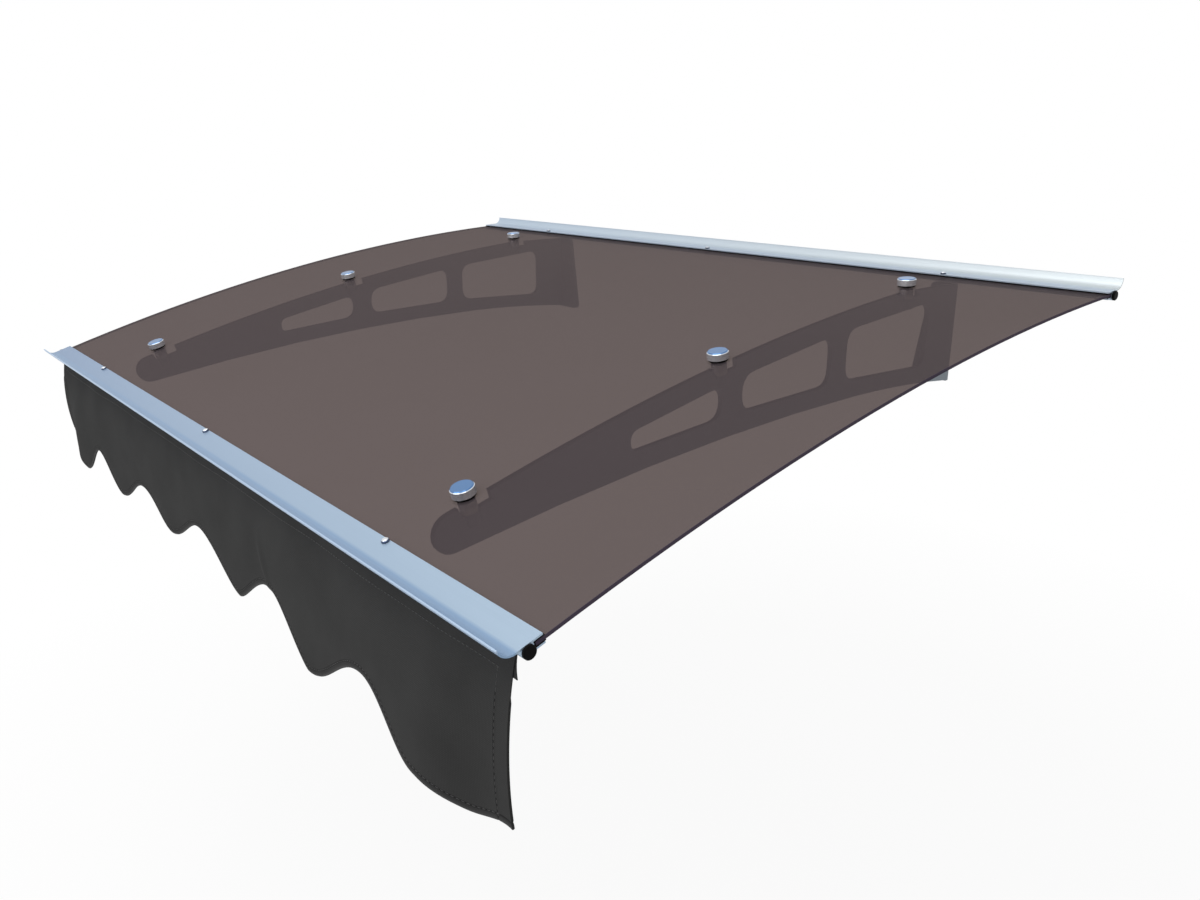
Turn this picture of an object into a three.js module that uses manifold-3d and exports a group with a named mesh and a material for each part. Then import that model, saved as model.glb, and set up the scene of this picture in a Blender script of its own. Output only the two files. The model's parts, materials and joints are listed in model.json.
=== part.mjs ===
// A door canopy: a bowed clear sheet on two moulded wall brackets, with the same edge bar along its
// front and rear, and a scalloped cloth valance hanging from the front bar.
// Millimetres, +Z up. X runs along the width, the wall is the plane Y = 0 and the front looks to -Y.
// Z = 0 is the level of the sheet's top face where it leaves the rear bar.
import * as THREE from 'three';
import { mergeVertices } from 'three/addons/utils/BufferGeometryUtils.js';
import Module from 'manifold-3d';

const wasm = await Module();
wasm.setup();

// Clearance between pieces that seat on or in one another
const FIT = 0.3;

// Facets round a cap, round a ring or plug, and round a screw or its hole
const CAP_FACETS = 24;
const RING_FACETS = 18;
const SCREW_FACETS = 12;

// Sheet, with its length measured along the bow
const SHEET_WIDTH = 1200;
const SHEET_LENGTH = 800;
const SHEET_THICKNESS = 3;
const BOW_RADIUS = 3140;
const REAR_SLOPE = THREE.MathUtils.degToRad(3.3);

// Edge bar section and the gasket in its jaw
const BAR_WALL = 1.4;
const SHEET_BITE = 7;
const FLANGE_WIDTH = 22;
const COVE_RADIUS = 11.5;
const COVE_END = THREE.MathUtils.degToRad(-5);
const CHANNEL_BORE = 8;
const CHANNEL_SLOT = 2.4;
const GASKET_WALL = 0.7;
const GASKET_LIP = 1;
const WALL_GAP = 0.5;

// Screws through the bars
const BAR_SCREW_PITCH = 400;
const BAR_SCREW_SETBACK = 3;
const BAR_SCREW_SHANK = 3;
const BAR_SCREW_HEAD = 7;
const BAR_SCREW_CROWN = 4;
const BAR_SCREW_HEIGHT = 2.2;
const BAR_SCREW_RIM = 1;
const BAR_SCREW_TAIL = 1.2;

// End plugs of the bars' round channels
const PLUG_HEAD = 2.5;
const PLUG_BEVEL = 0.8;
const PLUG_STEM = 8;

// Brackets, with distances from the wall and drops below Z = 0
const BRACKET_SPACING = 800;
const PLATE_THICKNESS = 6;
const PLATE_BEVEL = 0.8;
const PLATE_GAP = 2.5;
const NOSE_RADIUS = 18;
const NOSE_SETBACK = 51;
const CREST_DISTANCE = 204;
const CREST_DROP = 124.5;
const FOOT_TOP_DROP = 11;
const FOOT_BOTTOM_DROP = 136;
const RAIL = 22;
const WINDOW_RADIUS = 18;
const WINDOW_SPANS = [
  { rear: 62, front: 224 },
  { rear: 253, front: 399 },
  { rear: 430, front: 553 },
];

// Wall foot of a bracket
const FOOT_THICKNESS = 6;
const FOOT_TOP_WIDTH = 31;
const FOOT_BOTTOM_WIDTH = 47;
const FOOT_RADIUS = 8;
const FOOT_HOLE = 6.5;
const FOOT_HOLE_OFFSET = 18;
const FOOT_HOLE_INSET = 31;

// Fixings, with their distances along the sheet from the rear bar and from the front bar
const FIXING_NAMES = ['rear', 'middle', 'front'];
const FIXING_REAR_INSET = 76;
const FIXING_FRONT_INSET = 74;
const FIXING_MIDDLE_SHARE = 0.513;
const NOTCH_DEPTH = 9;
const NOTCH_FRONT = 11;
const NOTCH_REAR = 22;
const NOTCH_DRAFT = 2;
const BOSS_DIAMETER = 16;
const BOSS_LENGTH = 12;
const BOSS_FLOOR = 1.5;
const STUD_DIAMETER = 6;
const SPACER_DIAMETER = 16;
const WASHER_DIAMETER = 20;
const WASHER_THICKNESS = 1.5;
const CAP_DIAMETER = 22;
const CAP_HEIGHT = 8;
const CAP_BEVEL = 1.4;
const CAP_THREAD = 5;

// Valance, with drops measured down from the middle of the channel
const VALANCE_END_GAP = 4;
const CLOTH = 1;
const HEM = 7;
const HEM_STEP = 0.6;
const LOBES = 6;
const LOBE_COLUMNS = 12;
const CLOTH_BANDS = 5;
const LOBE_DROP = 146;
const SCALLOP_DEPTH = 49;
const END_RISE = 4;
const EDGE_SWING = 9;
const END_SWING = 17;
const SWING_TURN = 3.5;
const END_CURL = 22;
const BELLY = 6;

// Levels and reaches that follow from the sizes above
const visibleLength = SHEET_LENGTH - 2 * SHEET_BITE;
const frontSlope = REAR_SLOPE + visibleLength / BOW_RADIUS;
const barReach = FLANGE_WIDTH + COVE_RADIUS + BAR_WALL;
const wallToSheet = barReach + WALL_GAP;
const bowCentre = new THREE.Vector2(
  -wallToSheet + BOW_RADIUS * Math.sin(REAR_SLOPE),
  -BOW_RADIUS * Math.cos(REAR_SLOPE),
);
const plateTop = -(SHEET_THICKNESS + PLATE_GAP);
const notchFloor = plateTop - NOTCH_DEPTH;
const jawHalf = SHEET_THICKNESS / 2 + GASKET_WALL + 2 * FIT;
const jawMiddle = -SHEET_THICKNESS / 2;
const jawBack = SHEET_BITE + GASKET_WALL + 2 * FIT;
const flangeTop = jawMiddle + jawHalf + BAR_WALL;
const lipBottom = jawMiddle - jawHalf - BAR_WALL;
const channelInner = CHANNEL_BORE / 2;
const channelOuter = channelInner + BAR_WALL;
const channelReach = jawBack + BAR_WALL + channelInner;
const channelLevel = flangeTop - channelOuter;
const bracketX = BRACKET_SPACING / 2;
const fixingSpan = visibleLength - FIXING_REAR_INSET - FIXING_FRONT_INSET;
const fixingPlaces = [0, FIXING_MIDDLE_SHARE, 1].map((share) => FIXING_REAR_INSET + share * fixingSpan);
const valanceWidth = SHEET_WIDTH - 2 * (PLUG_STEM + VALANCE_END_GAP);
const scallopPitch = valanceWidth / LOBES;

const materials = {
  sheet: new THREE.MeshStandardMaterial({
    color: 0x6c6261, roughness: 0.12, metalness: 0, transparent: true, opacity: 0.8,
  }),
  aluminium: new THREE.MeshStandardMaterial({ color: 0xb4c4d6, roughness: 0.35, metalness: 0.9 }),
  bracket: new THREE.MeshStandardMaterial({ color: 0x70777b, roughness: 0.55, metalness: 0 }),
  chrome: new THREE.MeshStandardMaterial({ color: 0xd6dbe2, roughness: 0.1, metalness: 1 }),
  steel: new THREE.MeshStandardMaterial({ color: 0xb9bdc2, roughness: 0.3, metalness: 1 }),
  rubber: new THREE.MeshStandardMaterial({ color: 0x17171a, roughness: 0.7, metalness: 0 }),
  nylon: new THREE.MeshStandardMaterial({ color: 0xdad9d4, roughness: 0.5, metalness: 0 }),
  cloth: new THREE.MeshStandardMaterial({ color: 0x393939, roughness: 0.9, metalness: 0 }),
};

const canopy = new THREE.Group();

// Adds one named sub-part to a group
function addPart(group, name, geometry, material) {
  const mesh = new THREE.Mesh(geometry, material);
  mesh.name = name;
  group.add(mesh);
}

// Slope of the sheet at a distance along it from the rear bar
function slopeAt(along) {
  return REAR_SLOPE + along / BOW_RADIUS;
}

// Point (y, z) at a distance along the sheet and a height above its top face
function onSheet(along, height) {
  const slope = slopeAt(along);
  const radius = BOW_RADIUS + height;
  return new THREE.Vector2(-Math.sin(slope), Math.cos(slope)).multiplyScalar(radius).add(bowCentre);
}

// A group that stands square on the sheet's top face, with its Y axis pointing along it to the rear
function groupOnSheet(x, along) {
  const group = new THREE.Group();
  const place = onSheet(along, 0);
  group.position.set(x, place.x, place.y);
  group.rotation.x = slopeAt(along);
  canopy.add(group);
  return group;
}

// Solids for cutting and joining
function toSolid(geometry) {
  const bare = geometry.clone();
  bare.deleteAttribute('normal');
  bare.deleteAttribute('uv');
  const merged = mergeVertices(bare, 1e-4);
  return new wasm.Manifold(new wasm.Mesh({
    numProp: 3,
    vertProperties: new Float32Array(merged.attributes.position.array),
    triVerts: new Uint32Array(merged.index.array),
  }));
}

function toGeometry(solid) {
  const mesh = solid.getMesh();
  const geometry = new THREE.BufferGeometry();
  geometry.setAttribute('position', new THREE.BufferAttribute(mesh.vertProperties, 3));
  geometry.setIndex(new THREE.BufferAttribute(mesh.triVerts, 1));
  geometry.computeVertexNormals();
  return geometry;
}

function cutAll(geometry, cutters) {
  let solid = toSolid(geometry);
  for (const cutter of cutters) {
    solid = solid.subtract(toSolid(cutter));
  }
  return toGeometry(solid);
}

// Extrudes a (y, z) outline along X, centred on X = 0, with an edge bevel inside the outline
function extrudeAlongX(shape, length, curveSegments, bevel = 0) {
  const geometry = new THREE.ExtrudeGeometry(shape, {
    depth: length - 2 * bevel,
    curveSegments,
    bevelEnabled: bevel > 0,
    bevelThickness: bevel,
    bevelSize: bevel,
    bevelOffset: -bevel,
    bevelSegments: 1,
  });
  geometry.translate(0, 0, bevel - length / 2);
  const yAxis = new THREE.Vector3(0, 1, 0);
  const zAxis = new THREE.Vector3(0, 0, 1);
  const xAxis = new THREE.Vector3(1, 0, 0);
  return geometry.applyMatrix4(new THREE.Matrix4().makeBasis(yAxis, zAxis, xAxis));
}

// Turns a profile of [radius, height] pairs about Z
function turned(profile, segments) {
  const points = profile.map(([radius, height]) => new THREE.Vector2(radius, height));
  return new THREE.LatheGeometry(points, segments).rotateX(Math.PI / 2);
}

function ring(inner, outer, bottom, top, segments) {
  return turned([[inner, bottom], [outer, bottom], [outer, top], [inner, top], [inner, bottom]], segments);
}

// A rod along Z between two heights
function rod(diameter, bottom, top, segments) {
  const geometry = new THREE.CylinderGeometry(diameter / 2, diameter / 2, top - bottom, segments);
  return geometry.rotateX(Math.PI / 2).translate(0, 0, (bottom + top) / 2);
}

// Moves a geometry built in a fixing's own frame to its place on the sheet
function seatOnSheet(geometry, x, along) {
  const place = onSheet(along, 0);
  return geometry.rotateX(slopeAt(along)).translate(x, place.x, place.y);
}

// X places of the bar screws
const barScrewPlaces = [-BAR_SCREW_PITCH, 0, BAR_SCREW_PITCH];

// Bowed sheet, drilled for the six fixings and for the screws of both bars
function sheetGeometry() {
  const rearTurn = Math.PI / 2 + slopeAt(-SHEET_BITE);
  const frontTurn = Math.PI / 2 + slopeAt(visibleLength + SHEET_BITE);
  const section = new THREE.Shape();
  section.absarc(bowCentre.x, bowCentre.y, BOW_RADIUS, rearTurn, frontTurn, false);
  section.absarc(bowCentre.x, bowCentre.y, BOW_RADIUS - SHEET_THICKNESS, frontTurn, rearTurn, true);
  section.closePath();
  const depth = 2 * SHEET_THICKNESS;
  const drills = [];
  for (const along of fixingPlaces) {
    for (const x of [-bracketX, bracketX]) {
      drills.push(seatOnSheet(rod(STUD_DIAMETER + 2 * FIT, -depth, depth, RING_FACETS), x, along));
    }
  }
  for (const along of [-BAR_SCREW_SETBACK, visibleLength + BAR_SCREW_SETBACK]) {
    for (const x of barScrewPlaces) {
      drills.push(seatOnSheet(rod(BAR_SCREW_SHANK + 2 * FIT, -depth, depth, SCREW_FACETS), x, along));
    }
  }
  return cutAll(extrudeAlongX(section, SHEET_WIDTH, 12), drills);
}

// Drills for a bar's screws, in the bar's own frame with Y pointing away from the sheet
function barDrills() {
  const reach = 2 * (flangeTop - lipBottom);
  return barScrewPlaces.map((x) => (
    rod(BAR_SCREW_SHANK + 2 * FIT, -reach, reach, SCREW_FACETS).translate(x, BAR_SCREW_SETBACK, 0)
  ));
}

// Bar section: flange with a cove lip above, jaw for the sheet, and a slotted round channel
function barGeometry() {
  const slotTurn = frontSlope - Math.PI / 2;
  const slotHalf = Math.asin(CHANNEL_SLOT / 2 / channelInner);
  const coveLevel = flangeTop + COVE_RADIUS;
  const flangeBottom = flangeTop - BAR_WALL;
  const jawFloor = lipBottom + BAR_WALL;
  const topMeet = Math.asin((flangeBottom - channelLevel) / channelOuter);
  const lipMeet = -Math.PI - Math.asin((lipBottom - channelLevel) / channelOuter);
  const section = new THREE.Shape();
  section.moveTo(0, flangeBottom);
  section.lineTo(jawBack, flangeBottom);
  section.lineTo(jawBack, jawFloor);
  section.lineTo(0, jawFloor);
  section.lineTo(0, lipBottom);
  section.absarc(channelReach, channelLevel, channelOuter, lipMeet, slotTurn - slotHalf, false);
  section.absarc(
    channelReach, channelLevel, channelInner, slotTurn - slotHalf, slotTurn + slotHalf - 2 * Math.PI, true,
  );
  section.absarc(channelReach, channelLevel, channelOuter, slotTurn + slotHalf, topMeet, false);
  section.absarc(FLANGE_WIDTH, coveLevel, COVE_RADIUS + BAR_WALL, -Math.PI / 2, COVE_END, false);
  section.absarc(FLANGE_WIDTH, coveLevel, COVE_RADIUS, COVE_END, -Math.PI / 2, true);
  section.lineTo(0, flangeTop);
  section.closePath();
  return cutAll(extrudeAlongX(section, SHEET_WIDTH, 6), barDrills());
}

// Gasket section: a U round the sheet's edge, with its legs showing past the jaw
function gasketGeometry() {
  const slotHalf = SHEET_THICKNESS / 2 + FIT;
  const outerHalf = slotHalf + GASKET_WALL;
  const slotBack = SHEET_BITE + FIT;
  const section = new THREE.Shape([
    new THREE.Vector2(-GASKET_LIP, jawMiddle - outerHalf),
    new THREE.Vector2(slotBack + GASKET_WALL, jawMiddle - outerHalf),
    new THREE.Vector2(slotBack + GASKET_WALL, jawMiddle + outerHalf),
    new THREE.Vector2(-GASKET_LIP, jawMiddle + outerHalf),
    new THREE.Vector2(-GASKET_LIP, jawMiddle + slotHalf),
    new THREE.Vector2(slotBack, jawMiddle + slotHalf),
    new THREE.Vector2(slotBack, jawMiddle - slotHalf),
    new THREE.Vector2(-GASKET_LIP, jawMiddle - slotHalf),
  ]);
  return cutAll(extrudeAlongX(section, SHEET_WIDTH, 1), barDrills());
}

// Pan-headed screw that clamps flange, gasket, sheet and jaw lip together
function barScrewGeometry() {
  const shank = BAR_SCREW_SHANK / 2;
  const head = BAR_SCREW_HEAD / 2;
  const seat = flangeTop + FIT;
  const tip = lipBottom - BAR_SCREW_TAIL;
  return turned([
    [0, tip],
    [shank, tip],
    [shank, seat],
    [head, seat],
    [head, seat + BAR_SCREW_RIM],
    [BAR_SCREW_CROWN / 2, seat + BAR_SCREW_HEIGHT],
    [0, seat + BAR_SCREW_HEIGHT],
  ], SCREW_FACETS);
}

// Round plug for the end of a channel, built with its head on +X
function plugGeometry() {
  const stem = channelInner - FIT;
  return turned([
    [0, FIT - PLUG_STEM],
    [stem, FIT - PLUG_STEM],
    [stem, FIT],
    [channelOuter, FIT],
    [channelOuter, FIT + PLUG_HEAD - PLUG_BEVEL],
    [channelOuter - PLUG_BEVEL, FIT + PLUG_HEAD],
    [0, FIT + PLUG_HEAD],
  ], RING_FACETS).rotateY(Math.PI / 2);
}

// One bar with its gasket, screws and plugs. The front bar is the rear bar turned round.
function addBar(name, along, turn) {
  const group = groupOnSheet(0, along);
  group.rotation.z = turn;
  addPart(group, `${name}_bar`, barGeometry(), materials.aluminium);
  addPart(group, `${name}_gasket`, gasketGeometry(), materials.rubber);
  const screw = barScrewGeometry();
  barScrewPlaces.forEach((x, index) => {
    const place = new THREE.Group();
    place.position.set(x, BAR_SCREW_SETBACK, 0);
    group.add(place);
    addPart(place, `${name}_bar_screw_${index + 1}`, screw, materials.steel);
  });
  [0, Math.PI].forEach((plugTurn, index) => {
    const end = new THREE.Group();
    end.position.set(Math.cos(plugTurn) * SHEET_WIDTH / 2, channelReach, channelLevel);
    end.rotation.z = plugTurn;
    group.add(end);
    addPart(end, `${name}_bar_plug_${index + 1}`, plugGeometry(), materials.rubber);
  });
}

// Level of a plate's top edge, and of its arched bottom edge, at a distance from the wall
function plateTopLevel(distance) {
  const across = -distance - bowCentre.x;
  return bowCentre.y + Math.sqrt((BOW_RADIUS + plateTop) ** 2 - across ** 2);
}

const noseAlong = visibleLength - NOSE_SETBACK;
const noseCentre = onSheet(noseAlong, plateTop - NOSE_RADIUS);

// Lowest point of the nose, where its round meets the arched bottom edge
const noseTurn = Math.atan2(noseCentre.x + CREST_DISTANCE, 2 * (NOSE_RADIUS - noseCentre.y - CREST_DROP));
const noseLow = new THREE.Vector2(Math.cos(noseTurn), Math.sin(noseTurn)).multiplyScalar(NOSE_RADIUS);
noseLow.add(noseCentre);

function plateBottomLevel(distance) {
  const endDistance = distance > CREST_DISTANCE ? -noseLow.x : 0;
  const endDrop = distance > CREST_DISTANCE ? -noseLow.y : FOOT_BOTTOM_DROP;
  const share = (distance - CREST_DISTANCE) / (endDistance - CREST_DISTANCE);
  return -CREST_DROP - (endDrop - CREST_DROP) * share ** 2;
}

// A path round a polygon with its corners rounded
function roundedPath(path, corners, radius) {
  corners.forEach((corner, index) => {
    const before = corners.at(index - 1);
    const after = corners[(index + 1) % corners.length];
    const reach = Math.min(radius, corner.distanceTo(before) / 2, corner.distanceTo(after) / 2);
    const start = corner.clone().add(before.clone().sub(corner).setLength(reach));
    const end = corner.clone().add(after.clone().sub(corner).setLength(reach));
    if (index === 0) {
      path.moveTo(start.x, start.y);
    } else {
      path.lineTo(start.x, start.y);
    }
    path.quadraticCurveTo(corner.x, corner.y, end.x, end.y);
  });
  path.closePath();
  return path;
}

// Bracket plate in side view: notched top edge, wall edge, arched bottom edge, round nose, windows
function plateShape() {
  const outline = new THREE.Shape();
  const topRadius = BOW_RADIUS + plateTop;
  let along = noseAlong;
  for (const fixing of fixingPlaces.toReversed()) {
    const from = Math.PI / 2 + slopeAt(along);
    const to = Math.PI / 2 + slopeAt(fixing + NOTCH_FRONT);
    const floorFront = onSheet(fixing + NOTCH_FRONT - NOTCH_DRAFT, notchFloor);
    const floorRear = onSheet(fixing - NOTCH_REAR, notchFloor);
    outline.absarc(bowCentre.x, bowCentre.y, topRadius, from, to, true);
    outline.lineTo(floorFront.x, floorFront.y);
    outline.lineTo(floorRear.x, floorRear.y);
    along = fixing - NOTCH_REAR;
  }
  outline.lineTo(onSheet(along, plateTop).x, -FOOT_TOP_DROP);
  outline.lineTo(0, -FOOT_TOP_DROP);
  outline.lineTo(0, -FOOT_BOTTOM_DROP);
  outline.quadraticCurveTo(-CREST_DISTANCE / 2, -CREST_DROP, -CREST_DISTANCE, -CREST_DROP);
  outline.quadraticCurveTo((noseLow.x - CREST_DISTANCE) / 2, -CREST_DROP, noseLow.x, noseLow.y);
  const noseEnd = Math.PI / 2 + slopeAt(noseAlong) - 2 * Math.PI;
  outline.absarc(noseCentre.x, noseCentre.y, NOSE_RADIUS, noseTurn, noseEnd, true);
  for (const { rear, front } of WINDOW_SPANS) {
    const corners = [
      new THREE.Vector2(-rear, plateTopLevel(rear) - RAIL),
      new THREE.Vector2(-front, plateTopLevel(front) - RAIL),
      new THREE.Vector2(-front, plateBottomLevel(front) + RAIL),
      new THREE.Vector2(-rear, plateBottomLevel(rear) + RAIL),
    ];
    outline.holes.push(roundedPath(new THREE.Path(), corners, WINDOW_RADIUS));
  }
  return outline;
}

// Wall foot, wider towards its bottom, on the inner side of the plate. Inner is +1 or -1 along X.
function footGeometry(inner) {
  const outerEdge = -inner * PLATE_THICKNESS / 2;
  const corners = [
    new THREE.Vector2(outerEdge, -FOOT_TOP_DROP),
    new THREE.Vector2(outerEdge, -FOOT_BOTTOM_DROP),
    new THREE.Vector2(inner * FOOT_BOTTOM_WIDTH, -FOOT_BOTTOM_DROP),
    new THREE.Vector2(inner * FOOT_TOP_WIDTH, -FOOT_TOP_DROP),
  ];
  const outline = new THREE.Shape();
  outline.moveTo(corners[0].x, corners[0].y);
  outline.lineTo(corners[1].x, corners[1].y);
  const bottomInner = corners[2].x - inner * FOOT_RADIUS;
  const topInner = corners[3].x - inner * FOOT_RADIUS;
  outline.lineTo(bottomInner, corners[2].y);
  outline.quadraticCurveTo(corners[2].x, corners[2].y, corners[2].x, corners[2].y + FOOT_RADIUS);
  outline.lineTo(corners[3].x, corners[3].y - FOOT_RADIUS);
  outline.quadraticCurveTo(corners[3].x, corners[3].y, topInner, corners[3].y);
  outline.closePath();
  for (const level of [-FOOT_TOP_DROP - FOOT_HOLE_INSET, -FOOT_BOTTOM_DROP + FOOT_HOLE_INSET]) {
    const hole = new THREE.Path();
    hole.absarc(inner * FOOT_HOLE_OFFSET, level, FOOT_HOLE / 2, 0, 2 * Math.PI, inner > 0);
    outline.holes.push(hole);
  }
  const geometry = new THREE.ExtrudeGeometry(outline, {
    depth: FOOT_THICKNESS, curveSegments: 6, bevelEnabled: false,
  });
  return geometry.rotateX(Math.PI / 2);
}

function bracketGeometry(inner) {
  let solid = toSolid(extrudeAlongX(plateShape(), PLATE_THICKNESS, 5, PLATE_BEVEL));
  solid = solid.add(toSolid(footGeometry(inner)));
  for (const along of fixingPlaces) {
    const boss = rod(BOSS_DIAMETER, notchFloor - BOSS_LENGTH, notchFloor, RING_FACETS);
    solid = solid.add(toSolid(seatOnSheet(boss, 0, along)));
  }
  for (const along of fixingPlaces) {
    const bore = rod(STUD_DIAMETER + 2 * FIT, notchFloor - BOSS_LENGTH + BOSS_FLOOR, 0, SCREW_FACETS);
    solid = solid.subtract(toSolid(seatOnSheet(bore, 0, along)));
  }
  return toGeometry(solid);
}

// Round cap with a blind hole for the stud and a bevelled rim
function capGeometry(bottom) {
  const radius = CAP_DIAMETER / 2;
  const hole = STUD_DIAMETER / 2 + FIT;
  return turned([
    [0, bottom + CAP_THREAD],
    [hole, bottom + CAP_THREAD],
    [hole, bottom],
    [radius, bottom],
    [radius, bottom + CAP_HEIGHT - CAP_BEVEL],
    [radius - CAP_BEVEL, bottom + CAP_HEIGHT],
    [0, bottom + CAP_HEIGHT],
  ], CAP_FACETS);
}

// One fixing: cap and washer on the sheet, spacer in the notch, and the stud that joins them
function addFixing(side, name, x, along) {
  const group = groupOnSheet(x, along);
  const hole = STUD_DIAMETER / 2 + FIT;
  const washerTop = FIT + WASHER_THICKNESS;
  const capBottom = washerTop + FIT;
  const label = `${side}_${name}`;
  const washer = ring(hole, WASHER_DIAMETER / 2, FIT, washerTop, RING_FACETS);
  const spacerTop = -SHEET_THICKNESS - FIT;
  const spacer = ring(hole, SPACER_DIAMETER / 2, notchFloor + FIT, spacerTop, RING_FACETS);
  const studBottom = notchFloor - BOSS_LENGTH + BOSS_FLOOR + FIT;
  const stud = rod(STUD_DIAMETER, studBottom, capBottom + CAP_THREAD - FIT, SCREW_FACETS);
  addPart(group, `${label}_cap`, capGeometry(capBottom), materials.chrome);
  addPart(group, `${label}_washer`, washer, materials.rubber);
  addPart(group, `${label}_spacer`, spacer, materials.nylon);
  addPart(group, `${label}_stud`, stud, materials.steel);
}

// Share of the way from a lobe up to the notch beside it, at a place along X
function scallopRise(x) {
  return (1 + Math.cos(2 * Math.PI * (x / scallopPitch + LOBES / 2))) / 2;
}

// True on the outer half of the first and of the last lobe
function onEndLobe(x) {
  return Math.abs(x) > (valanceWidth - scallopPitch) / 2;
}

// Drop of the valance's edge, which rises little towards its two ends
function edgeDrop(x) {
  return LOBE_DROP - (onEndLobe(x) ? END_RISE : SCALLOP_DEPTH) * scallopRise(x);
}

// How far the edge hangs to the front: more to the sides and to +X, with its two ends curled back
function edgeSwing(x) {
  const side = 2 * x / valanceWidth;
  const curl = onEndLobe(x) ? END_CURL * scallopRise(x) : 0;
  return EDGE_SWING + END_SWING * side ** 2 + SWING_TURN * side - curl;
}

// Hanging cloth with a doubled hem along its edge, sewn into a loop round its rod at the top
function valanceGeometry() {
  const loopOuter = channelInner - FIT;
  const loopInner = loopOuter - CLOTH;
  const columns = LOBES * LOBE_COLUMNS;
  const rows = CLOTH_BANDS + 2;
  const cloth = new THREE.BoxGeometry(valanceWidth, 1, 1, columns, 1, rows);
  const position = cloth.attributes.position;
  const top = loopOuter - CLOTH / 2;
  for (let index = 0; index < position.count; index++) {
    const x = position.getX(index);
    const face = position.getY(index);
    const row = Math.round((0.5 - position.getZ(index)) * rows);
    const edge = edgeDrop(x);
    const hemTop = edge - HEM;
    const inHem = row > CLOTH_BANDS;
    const hemDrop = row === rows ? edge : hemTop + HEM_STEP;
    const drop = inHem ? hemDrop : top + (hemTop - top) * row / CLOTH_BANDS;
    const thickness = inHem ? 2 * CLOTH : CLOTH;
    const share = (drop - top) / (edge - top);
    const swing = edgeSwing(x) * share + 4 * BELLY * share * (1 - share);
    position.setXYZ(index, x, face * thickness - swing, -drop);
  }
  const loop = new THREE.Shape();
  loop.absarc(0, 0, loopOuter, 0, 2 * Math.PI, false);
  const hollow = new THREE.Path();
  hollow.absarc(0, 0, loopInner, 0, 2 * Math.PI, true);
  loop.holes.push(hollow);
  return toGeometry(toSolid(cloth).add(toSolid(extrudeAlongX(loop, valanceWidth, 8))));
}

function addValance() {
  const group = new THREE.Group();
  const outward = new THREE.Vector2(-Math.cos(frontSlope), -Math.sin(frontSlope));
  const place = onSheet(visibleLength, channelLevel).addScaledVector(outward, channelReach);
  group.position.set(0, place.x, place.y);
  canopy.add(group);
  addPart(group, 'valance', valanceGeometry(), materials.cloth);
  const rodRadius = channelInner - CLOTH - 2 * FIT;
  const halfWidth = valanceWidth / 2;
  const hemRod = rod(2 * rodRadius, -halfWidth, halfWidth, SCREW_FACETS).rotateY(Math.PI / 2);
  addPart(group, 'valance_rod', hemRod, materials.steel);
}

addPart(canopy, 'roof_sheet', sheetGeometry(), materials.sheet);
addBar('rear', 0, 0);
addBar('front', visibleLength, Math.PI);
for (const [side, inner] of [['left', 1], ['right', -1]]) {
  const x = -inner * bracketX;
  const group = new THREE.Group();
  group.position.x = x;
  canopy.add(group);
  addPart(group, `${side}_bracket`, bracketGeometry(inner), materials.bracket);
  FIXING_NAMES.forEach((name, index) => addFixing(side, name, x, fixingPlaces[index]));
}
addValance();

export default canopy;
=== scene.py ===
# %% [markdown]
# # A door canopy with a cloth valance
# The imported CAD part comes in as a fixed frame, in metres: a bowed clear sheet on two moulded
# brackets, edged with two aluminium bars, and a plain solid where the valance hangs.
# This lesson dresses it. The rigid pieces keep their CAD meshes and get real finishes.
# The valance is cloth, so it is made again as a thin sewn sheet that hangs in the same place.

import json
from math import cos, exp, hypot, pi, radians, sin, tanh

import bmesh
import bpy
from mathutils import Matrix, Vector


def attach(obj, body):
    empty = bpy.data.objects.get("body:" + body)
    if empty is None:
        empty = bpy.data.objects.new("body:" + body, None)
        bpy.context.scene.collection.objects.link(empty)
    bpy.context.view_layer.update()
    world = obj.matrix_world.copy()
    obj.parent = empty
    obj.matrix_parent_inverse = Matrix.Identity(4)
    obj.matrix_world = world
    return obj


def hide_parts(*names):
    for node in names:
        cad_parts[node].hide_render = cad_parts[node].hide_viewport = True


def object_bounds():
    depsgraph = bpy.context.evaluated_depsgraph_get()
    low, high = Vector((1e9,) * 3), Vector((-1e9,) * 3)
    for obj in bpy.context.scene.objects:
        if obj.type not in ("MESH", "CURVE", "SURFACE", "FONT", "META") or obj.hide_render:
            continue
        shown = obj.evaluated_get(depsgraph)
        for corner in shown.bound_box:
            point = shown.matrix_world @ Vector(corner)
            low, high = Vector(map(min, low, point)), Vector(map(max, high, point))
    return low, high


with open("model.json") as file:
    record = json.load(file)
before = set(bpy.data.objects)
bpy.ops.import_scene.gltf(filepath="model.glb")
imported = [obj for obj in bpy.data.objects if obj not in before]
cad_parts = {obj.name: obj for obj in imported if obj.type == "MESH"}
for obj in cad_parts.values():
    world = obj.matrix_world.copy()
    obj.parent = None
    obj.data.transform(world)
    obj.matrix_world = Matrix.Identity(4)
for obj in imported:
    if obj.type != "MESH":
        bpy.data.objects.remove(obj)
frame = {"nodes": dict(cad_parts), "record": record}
cad_low, cad_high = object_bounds()
cad_nodes = frame["nodes"]
scene = bpy.context.scene
print("CAD nodes:", len(cad_nodes), "box:", tuple(cad_low), tuple(cad_high))

# %% [markdown]
# ## Camera
# The photograph was taken from the right, a little above the canopy, with a wide lens.
# Its place, its two angles and its focal length were fitted by least squares to what the CAD and
# the photograph both show: the caps, the bar screws, the sheet's side edges and the bars' inner
# edges.

# %% Place the camera
CAMERA_PLACE = (1.0441, -1.1368, 0.1567)
CAMERA_TURN = 49.623
CAMERA_DIP = 17.573
LENS_MM = 29.05
SENSOR_MM = 36

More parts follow.
